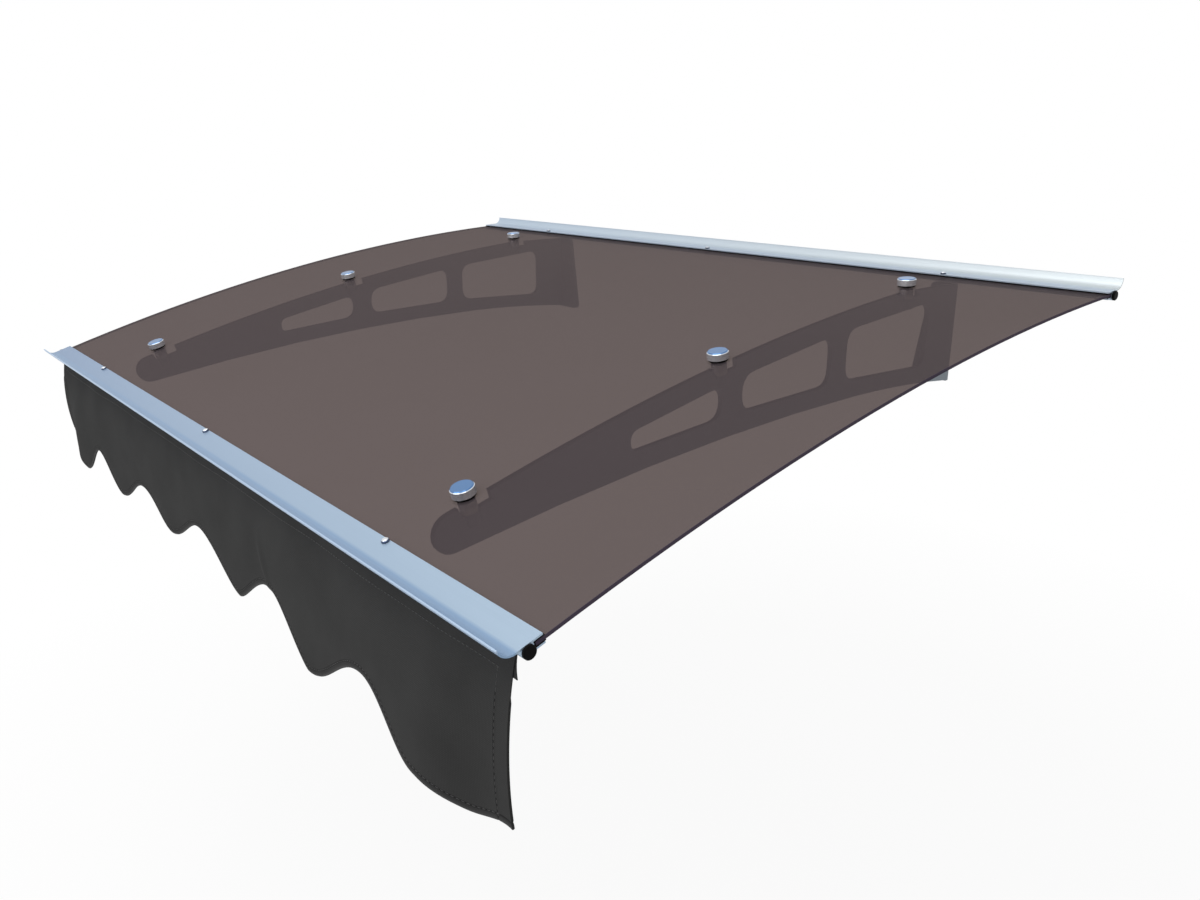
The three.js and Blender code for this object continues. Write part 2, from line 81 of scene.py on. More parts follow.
camera_data = bpy.data.cameras.new("canopy_camera")
camera_data.lens = LENS_MM
camera_data.sensor_width = SENSOR_MM
camera = bpy.data.objects.new("canopy_camera", camera_data)
camera.location = CAMERA_PLACE
camera.rotation_euler = (radians(90 - CAMERA_DIP), 0, radians(CAMERA_TURN))
scene.collection.objects.link(camera)
scene.camera = camera
print("camera:", tuple(camera.location), "lens", LENS_MM, "mm")

# %% [markdown]
# ## Helpers for node trees
# Colours are written as sRGB hex values, and shaders work in linear light, so one function
# turns the first into the second. Another adds a node, sets it and links it, which keeps each
# material as short as a recipe. Sizes of the part are written in millimetres, and MM turns them
# into Blender's metres. The camera, the floor and the lamps are placed in metres.

# %% Colour and node helpers
MM = 0.001


def linear(hex_colour):
    """Linear RGBA of an sRGB colour such as '#808080'."""
    shares = [int(hex_colour[start:start + 2], 16) / 255 for start in (1, 3, 5)]
    straight = [s / 12.92 if s <= 0.04045 else ((s + 0.055) / 1.055) ** 2.4 for s in shares]
    return (*straight, 1.0)


def add(tree, kind, sockets=None, **settings):
    """A new node with its settings, and its inputs set to values or linked to other sockets."""
    made = tree.nodes.new(kind)
    for name, value in settings.items():
        setattr(made, name, value)
    for name, value in (sockets or {}).items():
        if isinstance(value, bpy.types.NodeSocket):
            tree.links.new(value, made.inputs[name])
        else:
            made.inputs[name].default_value = value
    return made


def new_material(name):
    """An empty material, its tree and its output node."""
    material = bpy.data.materials.new(name)
    material.use_nodes = True
    material.node_tree.nodes.clear()
    output = add(material.node_tree, "ShaderNodeOutputMaterial")
    return material, material.node_tree, output


print("mid grey in linear light:", [round(part, 3) for part in linear("#808080")])

# %% [markdown]
# ## Smoke-tinted polycarbonate
# The roof is a clear sheet of tinted polycarbonate, 3 mm thick, extruded and so very smooth.
# Over a white ground it looks an even brown grey, and a bracket under it shows as a darker shape.
# Real refraction would cost many samples for a thin flat sheet, so each face lets a share of the
# light straight through and covers the rest with a veil of its own colour. A ray meets two faces,
# so each passes the square root of what the whole sheet does. Layer Weight adds the gloss that
# such a sheet has at a low angle. The sawn side edges are seen along the sheet's inside, so they
# are dark and nearly opaque, and their slight blue is a painted glint.

# %% Tint of the sheet
SHEET_WIDTH_MM = 1200
SHEET_EDGE_MM = 0.4
SMEAR_MM = 160

sheet_clear, tree, output = new_material("smoke_tinted_polycarbonate")
where = add(tree, "ShaderNodeTexCoord").outputs["Object"]
smears = add(tree, "ShaderNodeTexNoise", {"Vector": where, "Scale": 1 / (SMEAR_MM * MM), "Detail": 3})
veil = add(tree, "ShaderNodeMix", {
    "Factor": smears.outputs["Fac"], "A": linear("#4d4649"), "B": linear("#514a4e"),
}, data_type="RGBA")
across = add(tree, "ShaderNodeSeparateXYZ", {"Vector": where}).outputs["X"]
reach = add(tree, "ShaderNodeMath", {0: across}, operation="ABSOLUTE")
on_edge = add(tree, "ShaderNodeMath", {
    0: reach.outputs[0], 1: (SHEET_WIDTH_MM / 2 - SHEET_EDGE_MM) * MM,
}, operation="GREATER_THAN")
# The edges' dark colour is the sheet seen along its inside, and their slight blue is a painted glint
tint = add(tree, "ShaderNodeMix", {
    "Factor": on_edge.outputs[0], "A": veil.outputs["Result"], "B": linear("#463f50"),
}, data_type="RGBA")
print("sheet edges darken past", SHEET_WIDTH_MM / 2 - SHEET_EDGE_MM, "mm")

# %% Gloss of the sheet
GLOSS_POWER = 4
GLOSS_GRAZING = 0.5
GLOSS_LEAST = 0.03
FACE_COVER = 0.707
EDGE_COVER = 0.97

polish = add(tree, "ShaderNodeMapRange", {
    "Value": smears.outputs["Fac"], "To Min": 0.14, "To Max": 0.24,
})
ripple = add(tree, "ShaderNodeBump", {
    "Height": smears.outputs["Fac"], "Strength": 0.05, "Distance": 0.2 * MM,
})
surface = add(tree, "ShaderNodeBsdfPrincipled", {
    "Base Color": tint.outputs["Result"], "Roughness": polish.outputs["Result"],
    "IOR": 1.58, "Specular IOR Level": 0.0, "Normal": ripple.outputs["Normal"],
})
through = add(tree, "ShaderNodeBsdfTransparent", {"Color": linear("#fff3ec")})
cover = add(tree, "ShaderNodeMapRange", {
    "Value": on_edge.outputs[0], "To Min": FACE_COVER, "To Max": EDGE_COVER,
})
tinted = add(tree, "ShaderNodeMixShader", {
    0: cover.outputs["Result"], 1: through.outputs[0], 2: surface.outputs[0],
})
gloss = add(tree, "ShaderNodeBsdfGlossy", {
    "Color": linear("#7a706f"), "Roughness": polish.outputs["Result"],
    "Normal": ripple.outputs["Normal"],
})
grazing = add(tree, "ShaderNodeLayerWeight", {"Blend": 0.5})
steep = add(tree, "ShaderNodeMath", {
    0: grazing.outputs["Facing"], 1: GLOSS_POWER,
}, operation="POWER")
shine = add(tree, "ShaderNodeMath", {
    0: steep.outputs[0], 1: GLOSS_GRAZING, 2: GLOSS_LEAST,
}, operation="MULTIPLY_ADD")
glazing = add(tree, "ShaderNodeMixShader", {
    0: shine.outputs[0], 1: tinted.outputs[0], 2: gloss.outputs[0],
})
tree.links.new(glazing.outputs[0], output.inputs["Surface"])
print("material:", sheet_clear.name)

# %% [markdown]
# ## Satin anodised aluminium
# Both bars are extruded and satin anodised. The die leaves very fine lines along the length, so
# a noise that is stretched more than a hundredfold along X drives roughness, tone and a shallow
# bump. The lines are drawn about 1 mm apart, coarser than real die lines, so that they show at
# all. The bars drift in shade from end to end and the rear one is paler, light that the plain
# lamps here don't give, so it is painted into their colour: a drift of painted light and shade along
# X, and strips found by their Y for the painted shade in the front lip's gutter, the painted highlight
# on its rim and the painted shade that greys the rear bar's flange. Both bars are the same aluminium.

# %% Bar material
DIE_LINE_MM = 1.0
DIE_STRETCH = 0.008
DIE_TONE = 0.25
# Front strips: painted shade in the lip's gutter, then a painted highlight on the lip's rim
FRONT_STRIPS = (
    {"from": -826, "to": -829, "tone": "#87a2c0", "share": 1},
    {"from": -841.6, "to": -842.4, "tone": "#aec2da", "share": 1},
)
# Rear strip: painted shade that greys the flange
REAR_STRIPS = (
    {"from": -12, "to": -24, "tone": "#a4b4c9", "share": 0.7},
)


def drifting_colour(tree, where, lines, left_tone, right_tone, strips):
    """Colour socket: a painted drift of light and shade from the left end to the right one, with
    strips of painted shade and highlight along X.
    """
    place = add(tree, "ShaderNodeSeparateXYZ", {"Vector": where})
    along = add(tree, "ShaderNodeMapRange", {
        "Value": place.outputs["X"], "From Min": -SHEET_WIDTH_MM / 2 * MM,
        "From Max": SHEET_WIDTH_MM / 2 * MM, "To Min": -DIE_TONE / 2, "To Max": 1 - DIE_TONE / 2,
    })
    drift = add(tree, "ShaderNodeMath", {
        0: lines, 1: DIE_TONE, 2: along.outputs["Result"],
    }, operation="MULTIPLY_ADD")
    colour = add(tree, "ShaderNodeMix", {
        "Factor": drift.outputs[0], "A": linear(left_tone), "B": linear(right_tone),
    }, data_type="RGBA")
    for strip in strips:
        inside = add(tree, "ShaderNodeMapRange", {
            "Value": place.outputs["Y"], "From Min": strip["from"] * MM,
            "From Max": strip["to"] * MM, "To Max": strip["share"],
        })
        colour = add(tree, "ShaderNodeMix", {
            "Factor": inside.outputs["Result"], "A": colour.outputs["Result"],
            "B": linear(strip["tone"]),
        }, data_type="RGBA")
    return colour.outputs["Result"]


def anodised_bar(name, left_tone, right_tone, strips):
    """Satin anodised aluminium with die lines along X."""
    material, tree, output = new_material(name)
    where = add(tree, "ShaderNodeTexCoord").outputs["Object"]
    drawn = add(tree, "ShaderNodeMapping", {"Vector": where, "Scale": (DIE_STRETCH, 1, 1)})
    lines = add(tree, "ShaderNodeTexNoise", {
        "Vector": drawn.outputs[0], "Scale": 1 / (DIE_LINE_MM * MM), "Detail": 2,
    }).outputs["Fac"]
    satin = add(tree, "ShaderNodeMapRange", {"Value": lines, "To Min": 0.34, "To Max": 0.5})
    groove = add(tree, "ShaderNodeBump", {
        "Height": lines, "Strength": 0.12, "Distance": 0.1 * MM,
    })
    surface = add(tree, "ShaderNodeBsdfPrincipled", {
        "Base Color": drifting_colour(tree, where, lines, left_tone, right_tone, strips),
        "Metallic": 0.55, "Roughness": satin.outputs["Result"], "Normal": groove.outputs["Normal"],
    })
    tree.links.new(surface.outputs[0], output.inputs["Surface"])
    return material


# The end tones are painted light and shade, and the rear bar's paler pair is painted light on the same
# aluminium
front_aluminium = anodised_bar("satin_anodised_aluminium", "#839ab8", "#a6bacd", FRONT_STRIPS)
rear_aluminium = anodised_bar("rear_anodised_aluminium_painted_light", "#b6c5d4", "#cad1d4", REAR_STRIPS)
print("materials:", front_aluminium.name, rear_aluminium.name)

# %% [markdown]
# ## Moulded bracket plastic
# The brackets are injection moulded in a mid grey plastic with a satin, lightly spark-eroded
# skin. A fine noise gives that skin, drawn at 2 mm so that it shows, and a broad one gives the
# slight shade changes of a large moulding.

# %% Bracket material
SKIN_MM = 2
FLOW_MM = 90

bracket_grey, tree, output = new_material("moulded_grey_plastic")
where = add(tree, "ShaderNodeTexCoord").outputs["Object"]
skin = add(tree, "ShaderNodeTexNoise", {"Vector": where, "Scale": 1 / (SKIN_MM * MM), "Detail": 2})
flow = add(tree, "ShaderNodeTexNoise", {"Vector": where, "Scale": 1 / (FLOW_MM * MM), "Detail": 2})
grey = add(tree, "ShaderNodeMix", {
    "Factor": flow.outputs["Fac"], "A": linear("#859099"), "B": linear("#96a0aa"),
}, data_type="RGBA")
satin = add(tree, "ShaderNodeMapRange", {
    "Value": skin.outputs["Fac"], "To Min": 0.42, "To Max": 0.6,
})
grain = add(tree, "ShaderNodeBump", {
    "Height": skin.outputs["Fac"], "Strength": 0.25, "Distance": 0.15 * MM,
})
surface = add(tree, "ShaderNodeBsdfPrincipled", {
    "Base Color": grey.outputs["Result"], "Roughness": satin.outputs["Result"],
    "IOR": 1.5, "Normal": grain.outputs["Normal"],
})
tree.links.new(surface.outputs[0], output.inputs["Surface"])
print("material:", bracket_grey.name)

# %% [markdown]
# ## Height over the bowed sheet
# The caps and the bar screws all stand square on the bow, so for each of them the distance from
# the bow's axis gives the height over the sheet. With that one measure, a single material can
# tell the top of a small round piece from its side, wherever the piece stands. The bow's three
# sizes repeat the CAD's.

# %% Distance from the bow's axis
BOW_RADIUS_MM = 3140
BOW_REAR_SLOPE = radians(3.3)
WALL_TO_SHEET_MM = 35.4

bow_back = BOW_RADIUS_MM * sin(BOW_REAR_SLOPE) - WALL_TO_SHEET_MM
bow_axis = Vector((0, bow_back, -BOW_RADIUS_MM * cos(BOW_REAR_SLOPE))) * MM


def axis_distance(tree, where):
    """Socket with the distance from the bow's axis, in metres."""
    from_axis = add(tree, "ShaderNodeMapping", {
        "Vector": where, "Location": -bow_axis, "Scale": (0, 1, 1),
    })
    distance = add(tree, "ShaderNodeVectorMath", {0: from_axis.outputs[0]}, operation="LENGTH")
    return distance.outputs["Value"]


def top_distance(node):
    """A CAD node's greatest distance from the bow's axis, in metres."""
    corners = [corner.co - bow_axis for corner in cad_nodes[node].data.vertices]
    return max(hypot(corner.y, corner.z) for corner in corners)


cap_top = top_distance("left_rear_cap")
screw_top = top_distance("front_bar_screw_1")
print("caps reach", round(cap_top, 4), "m and bar screws", round(screw_top, 4), "m from the axis")

# %% [markdown]
# ## Polished chrome
# The round caps are chromed and polished. In the photograph their flat tops mirror something blue
# and their sides something white. This white room has no blue to mirror, so the tint is painted
# on, from the top down to about 1 mm below it, and the rest stays white.
# Fine turning rings round each cap would be too small to see, so a soft smear varies the polish.

# %% Cap material
POLISH_MM = 6
RIM_BOTTOM_MM = 1.1
RIM_TOP_MM = 0.8

cap_chrome, tree, output = new_material("polished_chrome")
where = add(tree, "ShaderNodeTexCoord").outputs["Object"]
upward = add(tree, "ShaderNodeMapRange", {
    "Value": axis_distance(tree, where),
    "From Min": cap_top - RIM_BOTTOM_MM * MM, "From Max": cap_top - RIM_TOP_MM * MM,
})
smear = add(tree, "ShaderNodeTexNoise", {
    "Vector": where, "Scale": 1 / (POLISH_MM * MM), "Detail": 2,
})
# The blue of the tops is a painted reflection, and the white below it is the chrome's own colour
chrome_with_painted_reflection = add(tree, "ShaderNodeMix", {
    "Factor": upward.outputs["Result"], "A": linear("#dee1e6"), "B": linear("#587fae"),
}, data_type="RGBA")
polish = add(tree, "ShaderNodeMapRange", {
    "Value": smear.outputs["Fac"], "To Min": 0.16, "To Max": 0.28,
})
surface = add(tree, "ShaderNodeBsdfPrincipled", {
    "Base Color": chrome_with_painted_reflection.outputs["Result"], "Metallic": 0.75,
    "Roughness": polish.outputs["Result"],
})
tree.links.new(surface.outputs[0], output.inputs["Surface"])
print("material:", cap_chrome.name)

# %% [markdown]
# ## Zinc-plated steel
# Bar screws, studs and the rod in the valance are bright zinc-plated steel: pale, slightly
# mottled by the crystals of the plating, and a little rough. Round each bar screw the rim of the
# head is dark with shade under its white crown, so that rim gets a painted shade.

# %% Screw material
SPANGLE_MM = 1.5
CROWN_MM = 0.7
DARK_RIM_MM = 1.8

screw_steel, tree, output = new_material("zinc_plated_steel")
where = add(tree, "ShaderNodeTexCoord").outputs["Object"]
spangle = add(tree, "ShaderNodeTexVoronoi", {"Vector": where, "Scale": 1 / (SPANGLE_MM * MM)})
bright = add(tree, "ShaderNodeMix", {
    "Factor": spangle.outputs["Distance"], "A": linear("#e4e7ea"), "B": linear("#c4c9ce"),
}, data_type="RGBA")
# The dark rim round each bar screw's head is painted shade
rim_middle = screw_top - (CROWN_MM + DARK_RIM_MM / 2) * MM
on_rim = add(tree, "ShaderNodeMath", {
    0: axis_distance(tree, where), 1: rim_middle, 2: DARK_RIM_MM / 2 * MM,
}, operation="COMPARE")
zinc_with_painted_shade = add(tree, "ShaderNodeMix", {
    "Factor": on_rim.outputs[0], "A": bright.outputs["Result"], "B": linear("#4a546b"),
}, data_type="RGBA")
plated = add(tree, "ShaderNodeMapRange", {
    "Value": spangle.outputs["Distance"], "To Min": 0.22, "To Max": 0.38,
})
surface = add(tree, "ShaderNodeBsdfPrincipled", {
    "Base Color": zinc_with_painted_shade.outputs["Result"], "Metallic": 0.9, "Roughness": plated.outputs["Result"],
})
tree.links.new(surface.outputs[0], output.inputs["Surface"])
print("material:", screw_steel.name)

# %% [markdown]
# ## Black rubber
# Gaskets, end plugs and washers are black rubber: nearly black and matte, with a
# bloom of slightly greyer patches and a very fine grain, drawn at 1 mm so that it shows.

# %% Rubber material
BLOOM_MM = 12
GRAIN_MM = 1

black_rubber, tree, output = new_material("black_rubber")
where = add(tree, "ShaderNodeTexCoord").outputs["Object"]
bloom = add(tree, "ShaderNodeTexNoise", {"Vector": where, "Scale": 1 / (BLOOM_MM * MM), "Detail": 3})
fine = add(tree, "ShaderNodeTexNoise", {"Vector": where, "Scale": 1 / (GRAIN_MM * MM), "Detail": 1})
soot = add(tree, "ShaderNodeMix", {
    "Factor": bloom.outputs["Fac"], "A": linear("#050505"), "B": linear("#0d0d0e"),
}, data_type="RGBA")
dull = add(tree, "ShaderNodeMapRange", {
    "Value": bloom.outputs["Fac"], "To Min": 0.45, "To Max": 0.7,
})
grain = add(tree, "ShaderNodeBump", {
    "Height": fine.outputs["Fac"], "Strength": 0.2, "Distance": 0.1 * MM,
})
surface = add(tree, "ShaderNodeBsdfPrincipled", {
    "Base Color": soot.outputs["Result"], "Roughness": dull.outputs["Result"],
    "Specular IOR Level": 0.05, "Normal": grain.outputs["Normal"],
})
tree.links.new(surface.outputs[0], output.inputs["Surface"])
print("material:", black_rubber.name)

# %% [markdown]
# ## Natural nylon
# A spacer stands in each bracket notch under a cap. Seen through the sheet the notches are as
# light as the ground beside them, so it is taken as natural nylon: off-white, waxy and a little
# cloudy.

# %% Spacer material
CLOUD_MM = 8

spacer_nylon, tree, output = new_material("natural_nylon")
where = add(tree, "ShaderNodeTexCoord").outputs["Object"]
cloud = add(tree, "ShaderNodeTexNoise", {"Vector": where, "Scale": 1 / (CLOUD_MM * MM), "Detail": 2})
waxy = add(tree, "ShaderNodeMix", {
    "Factor": cloud.outputs["Fac"], "A": linear("#e4e2dc"), "B": linear("#f3f2ee"),
}, data_type="RGBA")
dull = add(tree, "ShaderNodeMapRange", {
    "Value": cloud.outputs["Fac"], "To Min": 0.4, "To Max": 0.6,
})
surface = add(tree, "ShaderNodeBsdfPrincipled", {
    "Base Color": waxy.outputs["Result"], "Roughness": dull.outputs["Result"], "IOR": 1.53,
})
tree.links.new(surface.outputs[0], output.inputs["Surface"])
print("material:", spacer_nylon.name)

# %% [markdown]
# ## Finishes on the CAD nodes
# The record names a material slot for every node, so one small table from slot to finish
# dresses the whole frame. Only the rear bar, whose paler colour is painted light, is named by
# itself. The meshes themselves are left alone.

# %% Dress the CAD nodes
finishes = {
    "tinted_polycarbonate": sheet_clear,
    "aluminium_bar": front_aluminium,
    "bracket_plastic": bracket_grey,
    "chrome_cap": cap_chrome,
    "screw_steel": screw_steel,
    "black_rubber": black_rubber,
    "pale_nylon": spacer_nylon,
}
dressed = 0
for part in frame["record"]["subparts"]:
    finish = finishes.get(part["material_slot"])
    if finish is not None:
        mesh = cad_nodes[part["node"]].data
        mesh.materials.clear()
        mesh.materials.append(finish)
        dressed += 1
cad_nodes["rear_bar"].data.materials[0] = rear_aluminium
print("CAD nodes dressed:", dressed)

# %% [markdown]
# ## Lower edge of the valance
# The valance is one cut of cloth. Its top is turned over a rod into a sleeve, which slides into
# the front bar's channel, and its lower edge is cut in six scallops and hemmed.
# The edge runs through turns, low in the lobes and high in the notches, with half a cosine from
# each turn to the next. In the CAD solid the turns are even. Real cloth never hangs so evenly, so
# here each turn leans and sags by its own amount, fitted to the edge in the photograph.
# The sizes of the even valance and the place of the channel repeat the CAD's.

# %% Valance sizes
PLUG_STEM_MM = 8
END_GAP_MM = 4
LOBES = 6
LOBE_DROP_MM = 146
SCALLOP_DEPTH_MM = 49
# Middle of the front bar's channel, in millimetres
CHANNEL_PLACE = Vector((0, -818.53, -149.20))

valance_width = SHEET_WIDTH_MM - 2 * (PLUG_STEM_MM + END_GAP_MM)
valance_half = valance_width / 2
scallop_pitch = valance_width / LOBES
print("valance", valance_width, "mm wide, scallops every", scallop_pitch, "mm")

# %% Turns of the edge
LOBE_LEAN_MM = (26, -15, -12, 9, -13, -8)
LOBE_SAG_MM = (1, 0, -7, -4, 4, -3)
NOTCH_LEAN_MM = (3, -12, -2, 0, 6)
NOTCH_SAG_MM = (6, 11, 3, 3, 2)
# Below 1, a notch is broader at its top than a cosine is
NOTCH_ROUND = (0.9, 0.95, 0.95, 0.68, 1.0)
END_SAG_MM = (-24, -8)
LAST_TURN_MM = 48


def find_turns():
    """Place, drop and roundness of each turn, from the left end to the right one."""
    found = [(-valance_half, LOBE_DROP_MM + END_SAG_MM[0], 1)]
    for lobe in range(LOBES):
        middle = (lobe + 0.5) * scallop_pitch - valance_half
        found.append((middle + LOBE_LEAN_MM[lobe], LOBE_DROP_MM + LOBE_SAG_MM[lobe], 1))
        if lobe < LOBES - 1:
            place = middle + scallop_pitch / 2 + NOTCH_LEAN_MM[lobe]
            drop = LOBE_DROP_MM - SCALLOP_DEPTH_MM + NOTCH_SAG_MM[lobe]
            found.append((place, drop, NOTCH_ROUND[lobe]))
    found.append((valance_half - LAST_TURN_MM, LOBE_DROP_MM, 1))
    found.append((valance_half, LOBE_DROP_MM + END_SAG_MM[1], 1))
    return found


turns = find_turns()


def edge_drop(x):
    """How far the lower edge hangs below the rod."""
    x = min(max(x, -valance_half), valance_half)
    for (start, first, first_round), (end, last, last_round) in zip(turns, turns[1:]):
        if x <= end:
            fall = (1 - cos(pi * (x - start) / (end - start))) / 2
            rise = fall if last < first else 1 - fall
            return max(first, last) - abs(last - first) * rise ** min(first_round, last_round)


print("turns of the lower edge:", len(turns))

# %% [markdown]
# ## Swing and folds
# The cloth swings a little to the front, more towards its ends, where the outer lobes curl back
# again. It bellies out on the way down and has soft folds, which are a few long waves added up.
# One sharper crease runs down to the fourth notch.

# %% Swing, folds and crease
EDGE_SWING_MM = 9
END_SWING_MM = 17
SWING_TURN_MM = 3.5
END_CURL_MM = 22
FOLD_MM = 1.5
# Length over 2 pi, start and strength of each wave
FOLD_WAVES = ((33, 0, 1), (19, 1.3, 0.7), (61, 2.2, 0.5))
FOLD_FADE = 1.4
CREASE_MM = 1.8
CREASE_WIDTH_MM = 6
CREASE_PLACE_MM = (188, 78)
CREASE_SLANT = 0.4
CREASE_REACH_MM = 22


def scallop_rise(x):
    """0 at the bottom of an even lobe and 1 at a notch."""
    return (1 + cos(2 * pi * (x / scallop_pitch + LOBES / 2))) / 2


def on_end_lobe(x):
    """True on the outer half of the first and of the last lobe."""
    return abs(x) > valance_half - scallop_pitch / 2


def edge_swing(x):
    """How far the lower edge stands to the front of the rod."""
    side = x / valance_half
    curl = END_CURL_MM * scallop_rise(x) if on_end_lobe(x) else 0
    return EDGE_SWING_MM + END_SWING_MM * side ** 2 + SWING_TURN_MM * side - curl


def soft_folds(x, share):
    """Shallow waves that grow on the way down and ease towards the hem."""
    waves = sum(strength * sin(x / length + start) for length, start, strength in FOLD_WAVES)
    return FOLD_MM * waves * share * (FOLD_FADE - share)


def crease(x, drop):
    """One sharper fold that runs down to the fourth notch, as packing leaves in cloth."""
    middle, level = CREASE_PLACE_MM
    across = (x - middle - CREASE_SLANT * (drop - level)) / CREASE_WIDTH_MM
    along = (drop - level) / CREASE_REACH_MM
    return CREASE_MM * exp(-across ** 2 - along ** 2)


print("edge swings", round(edge_swing(0), 1), "mm in the middle")

# %% [markdown]
# ## From the rule to points
# A column of the cloth runs from the loose end of the sleeve, up its back, round the rod and
# down the front to the scalloped edge. Each point of a column gets two skins, in front of and
# behind the middle of the cloth, so the thickness can differ: the hems are doubled, and the
# stitching pulls a shallow groove into them. Rows and columns lie closer together there.

# %% A point of the hanging cloth
CLOTH_MM = 0.8
LAYER_GAP_MM = 0.2
LOOP_RADIUS_MM = 3.2
BELLY_MM = 6
HALF_STEP_MM = 0.5

layer_shift = (CLOTH_MM + LAYER_GAP_MM) / 2
loop_start = -pi / 2 + layer_shift / LOOP_RADIUS_MM
loop_end = 3 * pi / 2 - layer_shift / LOOP_RADIUS_MM
front_start = -LOOP_RADIUS_MM * sin(loop_start)


def hanging_point(x, drop):
    """A point of the front layer, from the rod's centre."""
    share = (drop - front_start) / (edge_drop(x) - front_start)
    swing = edge_swing(x) * share + 4 * BELLY_MM * share * (1 - share)
    swing += soft_folds(x, share) + crease(x, drop)
    return Vector((x, -layer_shift - swing, -drop))


def edge_slant(x):
    """Length of the edge for each millimetre along X."""
    climb = edge_drop(x + HALF_STEP_MM) - edge_drop(x - HALF_STEP_MM)
    return hypot(1, climb / (2 * HALF_STEP_MM))


print("front layer starts", round(front_start, 2), "mm below the rod's centre")

# %% Thickness in the hems
HEM_MM = 7
SIDE_HEM_MM = 18
SEAM_INSET_MM = 1.5
HEM_STEP_MM = 0.6
HEM_PUFF_MM = 0.45
GROOVE_MM = 0.9


def in_hem(gap, hem):
    """1 inside a hem of that width and 0 in the plain cloth, with a short soft step between."""
    return (1 - tanh((gap - hem) / HEM_STEP_MM)) / 2


def in_seam(gap, hem):
    """1 in the middle of a hem's line of stitches and 0 away from it."""
    return exp(-((gap - hem + SEAM_INSET_MM) / GROOVE_MM) ** 2)


def in_any_seam(edge_gap, side_gap):
    """The same for the nearer of the lower hem's and the side hem's seams."""
    return max(in_seam(edge_gap, HEM_MM), in_seam(side_gap, SIDE_HEM_MM))


def skin_depths(edge_gap, side_gap):
    """Distances of the front and the back skin from the middle of the cloth."""
    doubled = max(in_hem(edge_gap, HEM_MM), in_hem(side_gap, SIDE_HEM_MM))
    pulled = in_any_seam(edge_gap, side_gap)
    front = CLOTH_MM / 2 + HEM_PUFF_MM * (doubled - pulled)
    back = CLOTH_MM / 2 + CLOTH_MM * doubled - HEM_PUFF_MM * pulled
    return front, back


print("skins of a hem's edge:", [round(depth, 2) for depth in skin_depths(0, SHEET_WIDTH_MM)], "mm")

# %% Points of a column
SLEEVE_MM = 23
FLAP_MM = 4
FLAP_REACH_MM = 9
SLEEVE_ROWS = 8
LOOP_ROWS = 14
FRONT_ROWS = 30
# Rows near a hem: past its step, on both sides of its seam, and at the edge itself
PAST_HEM_MM = 2
SEAM_ROWS_MM = (0.5, 0, -0.5, -1.1)
EDGE_ROWS_MM = (1.5, 0.5, 0)


def hem_rows(hem, plain_gaps):
    """Gaps from the edge at which a hem has rows, with plain_gaps between its seam and its edge."""
    step_gaps = [hem + PAST_HEM_MM, hem + HEM_STEP_MM, hem, hem - HEM_STEP_MM]
    seam_gaps = [hem - SEAM_INSET_MM + offset for offset in SEAM_ROWS_MM]
    return [*step_gaps, *seam_gaps, *plain_gaps, *EDGE_ROWS_MM]


def sleeve_points(x):
    """Points and edge gaps of the sleeve's back layer, whose corners stray outwards."""
    placed = []
    for row in range(SLEEVE_ROWS):
        drop = SLEEVE_MM + (front_start - SLEEVE_MM) * row / SLEEVE_ROWS
        stray = FLAP_MM * (drop / SLEEVE_MM) ** 3 * exp((abs(x) - valance_half) / FLAP_REACH_MM)
        shift = Vector((stray if x > 0 else -stray, 2 * layer_shift, 0))
        placed.append((hanging_point(x, drop) + shift, edge_drop(x) - drop))
    return placed


def loop_points(x):
    """Points and edge gaps once round the rod."""
    placed = []
    for row in range(LOOP_ROWS + 1):
        turn = loop_start + (loop_end - loop_start) * row / LOOP_ROWS
        point = Vector((x, LOOP_RADIUS_MM * cos(turn), LOOP_RADIUS_MM * sin(turn)))
        placed.append((point, edge_drop(x)))
    return placed


def front_points(x):
    """Points and edge gaps of the front layer, down through the hem to the edge."""
    edge = edge_drop(x)
    slant = edge_slant(x)
    hem_gaps = hem_rows(HEM_MM, [3])
    hem_top = edge - hem_gaps[0] * slant
    placed = []
    for row in range(1, FRONT_ROWS + 1):
        drop = front_start + (hem_top - front_start) * row / FRONT_ROWS
        placed.append((hanging_point(x, drop), (edge - drop) / slant))
    for gap in hem_gaps[1:]:
        placed.append((hanging_point(x, edge - gap * slant), gap))
    return placed


print("rows of the lower hem:", [round(gap, 1) for gap in hem_rows(HEM_MM, [3])], "mm from the edge")

# %% Cloth columns
COLUMN_MM = 4


def cloth_column(x):
    """Middle points of one column and the gap of each to the lower edge."""
    placed = sleeve_points(x) + loop_points(x) + front_points(x)
    return [point for point, gap in placed], [gap for point, gap in placed]


side_gaps = hem_rows(SIDE_HEM_MM, [12, 8, 4])
side_reach = side_gaps[0]
inner_columns = round((valance_width - 2 * side_reach) / COLUMN_MM)
inner_step = (valance_width - 2 * side_reach) / inner_columns
column_places = [gap - valance_half for gap in reversed(side_gaps)]
column_places += [side_reach - valance_half + inner_step * step for step in range(1, inner_columns)]
column_places += [valance_half - gap for gap in side_gaps]
columns = [cloth_column(x) for x in column_places]
print("cloth columns:", len(columns), "rows:", len(columns[0][0]))

# %% [markdown]
# ## Sewing the cloth together
# Each column becomes a ring of points: down the front skin, round the hemmed edge, up the back
# skin. Neighbouring rings are joined by quads and the two ends are closed, so the cloth is one
# watertight piece. A UV map holds the flat cloth's own metres, across and along, because the
# weave has to follow the cloth round its loop and folds. Two values on the points tell the material
# where a sunk seam gets its painted shade and where the folded edge gets a painted highlight.

# %% Rings of the cloth
TIP_MM = 0.6
# Width of the painted highlight along the folded edge
HIGHLIGHT_EDGE_MM = 1.2
# Rows of the front layer, down to just past the sleeve, that stay without hems
PLAIN_FRONT_ROWS = 8

